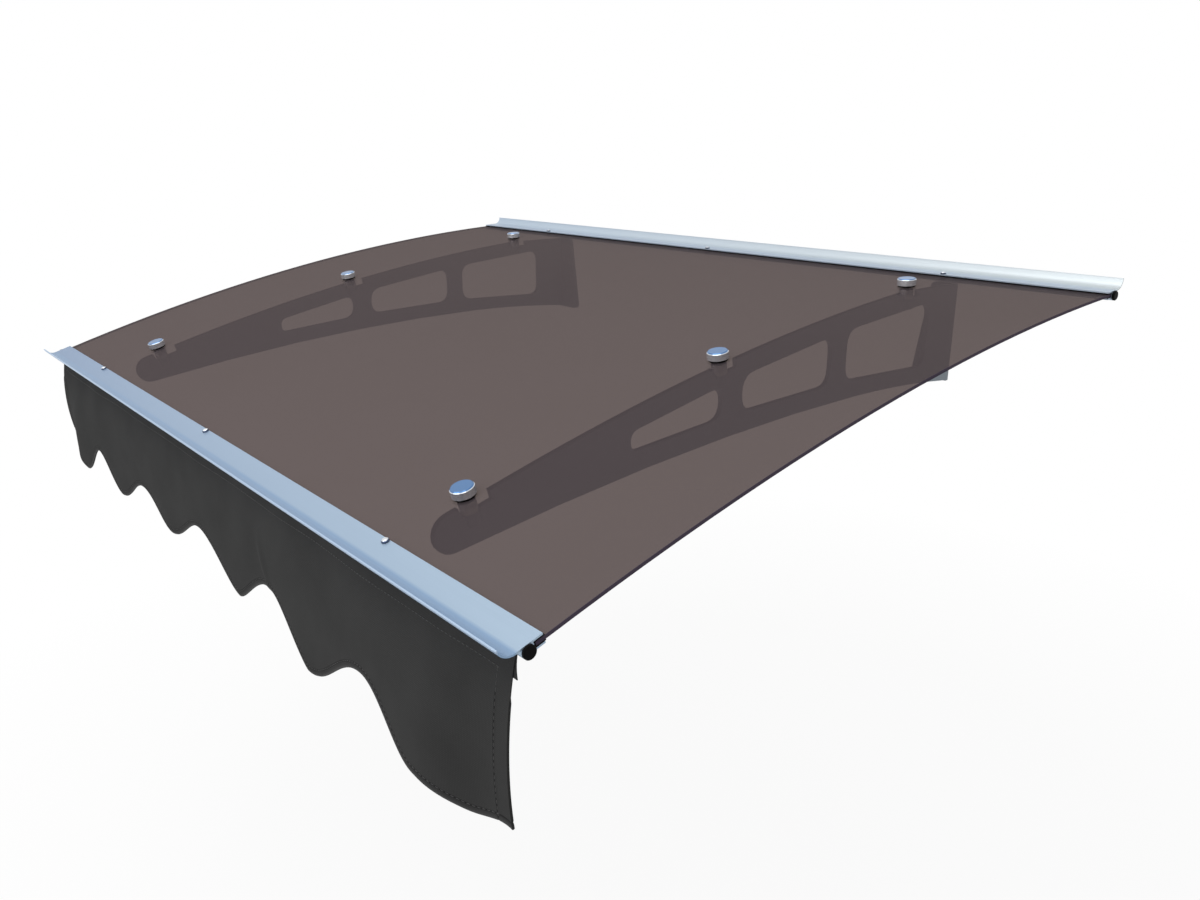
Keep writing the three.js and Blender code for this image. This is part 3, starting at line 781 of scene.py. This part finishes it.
cloth_mesh = bpy.data.meshes.new("valance_sheet")
build = bmesh.new()
flat_layer = build.loops.layers.uv.new("flat_cloth")
seam_layer = build.verts.layers.float.new("seam_depth")
rim_layer = build.verts.layers.float.new("hem_rim")
plain_rows = SLEEVE_ROWS + LOOP_ROWS + PLAIN_FRONT_ROWS
flat_places = {}


def skin_normals(index):
    """Unit normals of a column, facing out of the front layer."""
    points = columns[index][0]
    before = columns[max(index - 1, 0)][0]
    after = columns[min(index + 1, len(columns) - 1)][0]
    normals = []
    for row in range(len(points)):
        above = points[max(row - 1, 0)]
        below = points[min(row + 1, len(points) - 1)]
        normals.append((below - above).cross(after[row] - before[row]).normalized())
    return normals


def cloth_ring(index):
    """The ring of vertices round one column, with their places on the flat cloth."""
    points, gaps = columns[index]
    x = column_places[index]
    side_gap = valance_half - abs(x)
    front_skin = []
    back_skin = []
    along = 0
    for row, normal in enumerate(skin_normals(index)):
        if row > 0:
            along += (points[row] - points[row - 1]).length
        hemmed = row > plain_rows
        front, back = skin_depths(gaps[row], side_gap) if hemmed else (CLOTH_MM / 2, CLOTH_MM / 2)
        place = CHANNEL_PLACE + points[row]
        front_skin.append(build.verts.new((place + normal * front) * MM))
        if hemmed:
            front_skin[-1][seam_layer] = in_any_seam(gaps[row], side_gap)
            front_skin[-1][rim_layer] = in_hem(gaps[row], HIGHLIGHT_EDGE_MM)
        back_skin.append(build.verts.new((place - normal * back) * MM))
        flat_places[front_skin[-1]] = (x * MM, along * MM)
        flat_places[back_skin[-1]] = (x * MM, along * MM)
    outward = (points[-1] - points[-2]).normalized() * TIP_MM
    tip = build.verts.new((CHANNEL_PLACE + points[-1] + outward) * MM)
    flat_places[tip] = (x * MM, along * MM)
    return front_skin + [tip] + back_skin[::-1]


rings = [cloth_ring(index) for index in range(len(columns))]
print("rings:", len(rings), "of", len(rings[0]), "points")

# %% Join the rings
SHARP_ANGLE = radians(60)

ring_size = len(rings[0])
half_ring = ring_size // 2
faces = []
for ring, following in zip(rings, rings[1:]):
    for spot in range(ring_size):
        beside = (spot + 1) % ring_size
        faces.append(build.faces.new((ring[spot], ring[beside], following[beside], following[spot])))
for ring in (rings[0], rings[-1]):
    for spot in range(half_ring - 1):
        opposite = ring_size - 1 - spot
        faces.append(build.faces.new((ring[spot], ring[spot + 1], ring[opposite - 1], ring[opposite])))
    faces.append(build.faces.new((ring[half_ring - 1], ring[half_ring], ring[half_ring + 1])))
for face in faces:
    face.smooth = True
    for loop in face.loops:
        loop[flat_layer].uv = flat_places[loop.vert]
bmesh.ops.recalc_face_normals(build, faces=build.faces)
build.to_mesh(cloth_mesh)
build.free()
cloth_mesh.set_sharp_from_angle(angle=SHARP_ANGLE)
valance = bpy.data.objects.new("valance_sheet", cloth_mesh)
scene.collection.objects.link(valance)
print("valance cloth:", len(cloth_mesh.polygons), "faces")

# %% [markdown]
# ## Woven awning cloth
# The cloth is a black plain-woven polyester canvas, which reads as a dark neutral grey. Warp and
# weft are two crossed bands on the flat cloth's own map. Real threads are about 0.5 mm apart,
# which no render at this size could hold, so they are drawn 1.5 mm apart. A broad noise adds the
# uneven tone of hanging cloth, and a touch of sheen stands for the loose fibres. The sunk seams get
# a painted shade, and the folded edge a painted highlight.

# %% Weave
THREAD_MM = 1.5
FADE_MM = 70
WEAVE_SHARE = 0.5
# Length of one band of Blender's wave texture at scale 1
WAVE_LENGTH = 2 * pi / 20

valance_canvas, tree, output = new_material("black_woven_canvas")
flat = add(tree, "ShaderNodeUVMap", uv_map="flat_cloth").outputs["UV"]
wave_scale = WAVE_LENGTH / (THREAD_MM * MM)
warp = add(tree, "ShaderNodeTexWave", {"Vector": flat, "Scale": wave_scale, "Distortion": 0.4})
weft = add(tree, "ShaderNodeTexWave", {
    "Vector": flat, "Scale": wave_scale, "Distortion": 0.4,
}, bands_direction="Y")
weave = add(tree, "ShaderNodeMath", {
    0: warp.outputs["Fac"], 1: weft.outputs["Fac"],
}, operation="MULTIPLY")
where = add(tree, "ShaderNodeTexCoord").outputs["Object"]
fade = add(tree, "ShaderNodeTexNoise", {"Vector": where, "Scale": 1 / (FADE_MM * MM), "Detail": 3})
shade = add(tree, "ShaderNodeMath", {
    0: weave.outputs[0], 1: WEAVE_SHARE, 2: fade.outputs["Fac"],
}, operation="MULTIPLY_ADD")
canvas = add(tree, "ShaderNodeMix", {
    "Factor": shade.outputs[0], "A": linear("#2d2d2d"), "B": linear("#3d3d3d"),
}, data_type="RGBA")
print("threads drawn", THREAD_MM, "mm apart")

# %% Cloth material
# Seam: painted shade in its groove. Rim: painted highlight along the folded edge
CLOTH_MARKS = (
    {"attribute": "seam_depth", "share": 0.8, "tone": "#1a1a1a"},
    {"attribute": "hem_rim", "share": 0.7, "tone": "#575757"},
)

for mark in CLOTH_MARKS:
    found = add(tree, "ShaderNodeAttribute", attribute_name=mark["attribute"]).outputs["Fac"]
    marked = add(tree, "ShaderNodeMath", {0: found, 1: mark["share"]}, operation="MULTIPLY")
    canvas = add(tree, "ShaderNodeMix", {
        "Factor": marked.outputs[0], "A": canvas.outputs["Result"], "B": linear(mark["tone"]),
    }, data_type="RGBA")
fibres = add(tree, "ShaderNodeMapRange", {
    "Value": weave.outputs[0], "To Min": 0.95, "To Max": 0.8,
})
threads = add(tree, "ShaderNodeBump", {
    "Height": weave.outputs[0], "Strength": 0.35, "Distance": 0.25 * MM,
})
surface = add(tree, "ShaderNodeBsdfPrincipled", {
    "Base Color": canvas.outputs["Result"], "Roughness": fibres.outputs["Result"],
    "Specular IOR Level": 0.03, "Sheen Weight": 0.02, "Sheen Roughness": 0.5,
    "Normal": threads.outputs["Normal"],
})
tree.links.new(surface.outputs[0], output.inputs["Surface"])
cloth_mesh.materials.append(valance_canvas)
print("material:", valance_canvas.name)

# %% [markdown]
# ## Seams
# Three kinds of seam hold the valance: one along the scalloped hem, one down each side hem and
# one under the rod that closes the sleeve. A seam is a path with the same small stitch repeated
# along it, which is just what Geometry Nodes are for: resample a curve to the stitch pitch, put
# a short fat thread on every point and turn it along the curve.

# %% Seam paths
PATH_STEP_MM = 3


def seam_point(x, drop):
    """A place on the cloth's front skin, in the seam's groove."""
    across = hanging_point(x + HALF_STEP_MM, drop) - hanging_point(x - HALF_STEP_MM, drop)
    down = hanging_point(x, drop + HALF_STEP_MM) - hanging_point(x, drop - HALF_STEP_MM)
    lift = down.cross(across).normalized() * (CLOTH_MM / 2)
    return (CHANNEL_PLACE + hanging_point(x, drop) + lift) * MM


def side_seam(x):
    """A seam's path down a side hem, from under the sleeve to the lower hem's seam."""
    low = edge_drop(x) - hem_inset
    rows = round((low - SLEEVE_MM) / PATH_STEP_MM)
    return [seam_point(x, SLEEVE_MM + (low - SLEEVE_MM) * row / rows) for row in range(rows + 1)]


seam_half = valance_half - SIDE_HEM_MM + SEAM_INSET_MM
hem_inset = HEM_MM - SEAM_INSET_MM
steps = round(2 * seam_half / PATH_STEP_MM)
across_places = [seam_half * (2 * step / steps - 1) for step in range(steps + 1)]
hem_seam = [seam_point(x, edge_drop(x) - hem_inset * edge_slant(x)) for x in across_places]
sleeve_seam = [seam_point(x, SLEEVE_MM - SEAM_INSET_MM) for x in across_places]

seam_curve = bpy.data.curves.new("valance_seams", "CURVE")
seam_curve.dimensions = "3D"
for path in (hem_seam, sleeve_seam, side_seam(-seam_half), side_seam(seam_half)):
    spline = seam_curve.splines.new("POLY")
    spline.points.add(len(path) - 1)
    for spot, place in zip(spline.points, path):
        spot.co = (*place, 1)
print("seam paths:", len(seam_curve.splines))

# %% [markdown]
# ## Stitches
# The thread is twisted black polyester, a little paler than the cloth and soft with fibres.
# The tree's sizes are named inputs, so another seam could use it with other threads. A stitch
# is a low icosphere of 80 faces drawn out along its own X axis, because it repeats hundreds of
# times. Realize Instances turns the copies into real faces.

# %% Thread material
TWIST_MM = 1.2

sewing_thread, tree, output = new_material("black_sewing_thread")
where = add(tree, "ShaderNodeTexCoord").outputs["Object"]
twist = add(tree, "ShaderNodeTexNoise", {"Vector": where, "Scale": 1 / (TWIST_MM * MM), "Detail": 1})
ply = add(tree, "ShaderNodeMix", {
    "Factor": twist.outputs["Fac"], "A": linear("#333333"), "B": linear("#454545"),
}, data_type="RGBA")
fluff = add(tree, "ShaderNodeMapRange", {
    "Value": twist.outputs["Fac"], "To Min": 0.6, "To Max": 0.85,
})
surface = add(tree, "ShaderNodeBsdfPrincipled", {
    "Base Color": ply.outputs["Result"], "Roughness": fluff.outputs["Result"],
    "Specular IOR Level": 0.3, "Sheen Weight": 0.1,
})
tree.links.new(surface.outputs[0], output.inputs["Surface"])
print("material:", sewing_thread.name)

# %% Stitch tree
stitching = bpy.data.node_groups.new("stitching", "GeometryNodeTree")
sockets = stitching.interface
sockets.new_socket("Path", in_out="INPUT", socket_type="NodeSocketGeometry")
pitch_input = sockets.new_socket("Stitch pitch", in_out="INPUT", socket_type="NodeSocketFloat")
length_input = sockets.new_socket("Stitch length", in_out="INPUT", socket_type="NodeSocketFloat")
width_input = sockets.new_socket("Thread width", in_out="INPUT", socket_type="NodeSocketFloat")
sockets.new_socket("Stitches", in_out="OUTPUT", socket_type="NodeSocketGeometry")
given = add(stitching, "NodeGroupInput")
spaced = add(stitching, "GeometryNodeResampleCurve", {
    "Curve": given.outputs["Path"], "Length": given.outputs["Stitch pitch"],
}, mode="LENGTH")
blob = add(stitching, "GeometryNodeMeshIcoSphere", {"Radius": 0.5, "Subdivisions": 2})
thread_size = add(stitching, "ShaderNodeCombineXYZ", {
    "X": given.outputs["Stitch length"], "Y": given.outputs["Thread width"],
    "Z": given.outputs["Thread width"],
})
stitch = add(stitching, "GeometryNodeTransform", {
    "Geometry": blob.outputs["Mesh"], "Scale": thread_size.outputs[0],
})
heading = add(stitching, "GeometryNodeInputTangent")
turned = add(stitching, "FunctionNodeAlignRotationToVector", {
    "Vector": heading.outputs[0],
}, axis="X")
sewn = add(stitching, "GeometryNodeInstanceOnPoints", {
    "Points": spaced.outputs[0], "Instance": stitch.outputs[0], "Rotation": turned.outputs[0],
})
real = add(stitching, "GeometryNodeRealizeInstances", {"Geometry": sewn.outputs[0]})
coloured = add(stitching, "GeometryNodeSetMaterial", {
    "Geometry": real.outputs[0], "Material": sewing_thread,
})
add(stitching, "NodeGroupOutput", {"Stitches": coloured.outputs[0]})
print("stitch tree:", len(stitching.nodes), "nodes")

# %% Sew the seams
STITCH_PITCH_MM = 5
STITCH_MM = 3.6
THREAD_WIDTH_MM = 0.7

seam_object = bpy.data.objects.new("seam_path", seam_curve)
scene.collection.objects.link(seam_object)
sewing = seam_object.modifiers.new("stitching", "NODES")
sewing.node_group = stitching
sewing[pitch_input.identifier] = STITCH_PITCH_MM * MM
sewing[length_input.identifier] = STITCH_MM * MM
sewing[width_input.identifier] = THREAD_WIDTH_MM * MM
evaluated = seam_object.evaluated_get(bpy.context.evaluated_depsgraph_get())
stitch_mesh = bpy.data.meshes.new_from_object(evaluated)
bpy.data.objects.remove(seam_object)
stitches = bpy.data.objects.new("valance_stitches", stitch_mesh)
scene.collection.objects.link(stitches)
for polygon in stitch_mesh.polygons:
    polygon.use_smooth = True
print("stitches:", len(stitch_mesh.polygons), "faces")

# %% [markdown]
# ## Handing the cloth to the frame
# The cloth stands in for the CAD solid and rides on the one body.


for piece in (valance, stitches):
    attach(piece, "root")
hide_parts("valance")

# %% [markdown]
# ## Floor, light and background
# The canopy hangs, so the floor lies well below it and takes only a soft shadow. For what the
# camera sees, directly, mirrored or through glass, the floor turns to the same white as the world
# behind it, a little less so under the canopy, where its shadow stays. So no horizon shows.
# A wide lamp above, a second one in front and an even white world give plain soft light, at a
# level at which a colour renders about as it is written.

# %% Floor
FLOOR_DROP = 0.75
FLOOR_SIZE = 30

floor_mesh = bpy.data.meshes.new("studio_floor")
half = FLOOR_SIZE / 2
floor_level = cad_low.z - FLOOR_DROP
corners = [(-half, -half), (half, -half), (half, half), (-half, half)]
floor_mesh.from_pydata([(x, y, floor_level) for x, y in corners], [], [(0, 1, 2, 3)])
floor = bpy.data.objects.new("studio_floor", floor_mesh)
scene.collection.objects.link(floor)
print("floor at", round(floor_level, 3), "m")

# %% Floor material
SHADOW_REACH = 0.8
WHITE_REACH = 1.8
SHADOW_WHITE = 0.92


def background_rays(tree):
    """1 for rays that show the background, directly, in a mirror or through glass, else 0."""
    ray = add(tree, "ShaderNodeLightPath")
    mirrored = add(tree, "ShaderNodeMath", {
        0: ray.outputs["Is Camera Ray"], 1: ray.outputs["Is Glossy Ray"],
    }, operation="MAXIMUM")
    shown = add(tree, "ShaderNodeMath", {
        0: mirrored.outputs[0], 1: ray.outputs["Is Transmission Ray"],
    }, operation="MAXIMUM")
    return shown.outputs[0]


floor_white, tree, output = new_material("studio_white")
where = add(tree, "ShaderNodeTexCoord").outputs["Object"]
flat_place = add(tree, "ShaderNodeMapping", {"Vector": where, "Scale": (1, 1, 0)})
distance = add(tree, "ShaderNodeVectorMath", {0: flat_place.outputs[0]}, operation="LENGTH")
whiteness = add(tree, "ShaderNodeMapRange", {
    "Value": distance.outputs["Value"], "From Min": SHADOW_REACH, "From Max": WHITE_REACH,
    "To Min": SHADOW_WHITE, "To Max": 1.0,
})
seen = add(tree, "ShaderNodeMath", {
    0: background_rays(tree), 1: whiteness.outputs["Result"],
}, operation="MULTIPLY")
paint = add(tree, "ShaderNodeBsdfDiffuse", {"Color": linear("#f4f4f4")})
glow = add(tree, "ShaderNodeEmission", {"Color": linear("#ffffff"), "Strength": 1.0})
ground = add(tree, "ShaderNodeMixShader", {
    0: seen.outputs[0], 1: paint.outputs[0], 2: glow.outputs[0],
})
tree.links.new(ground.outputs[0], output.inputs["Surface"])
floor_mesh.materials.append(floor_white)
print("material:", floor_white.name)

# %% World and lamps
WORLD_LIGHT = 0.38
LAMPS = {
    "soft_top_lamp": {"size": 3.0, "place": (0.4, -1.6, 3.0), "aim": (0, -0.4, -0.1), "watts": 61},
    "soft_front_lamp": {"size": 2.2, "place": (0.2, -3.2, 0.9), "aim": (0.3, 0, 0), "watts": 31},
}

world = bpy.data.worlds.new("white_room")
world.use_nodes = True
world.node_tree.nodes.clear()
tree = world.node_tree
level = add(tree, "ShaderNodeMapRange", {
    "Value": background_rays(tree), "To Min": WORLD_LIGHT, "To Max": 1.0,
})
sky = add(tree, "ShaderNodeBackground", {
    "Color": linear("#ffffff"), "Strength": level.outputs["Result"],
})
add(tree, "ShaderNodeOutputWorld", {"Surface": sky.outputs[0]})
scene.world = world

for name, plan in LAMPS.items():
    lamp_data = bpy.data.lights.new(name, "AREA")
    lamp_data.shape = "SQUARE"
    lamp_data.size = plan["size"]
    lamp_data.energy = plan["watts"]
    lamp = bpy.data.objects.new(name, lamp_data)
    lamp.location = plan["place"]
    sight = Vector(plan["aim"]) - Vector(plan["place"])
    lamp.rotation_euler = sight.to_track_quat("-Z", "Y").to_euler()
    scene.collection.objects.link(lamp)
scene.view_settings.view_transform = "Standard"
print("world light", WORLD_LIGHT, "and lamps", list(LAMPS))
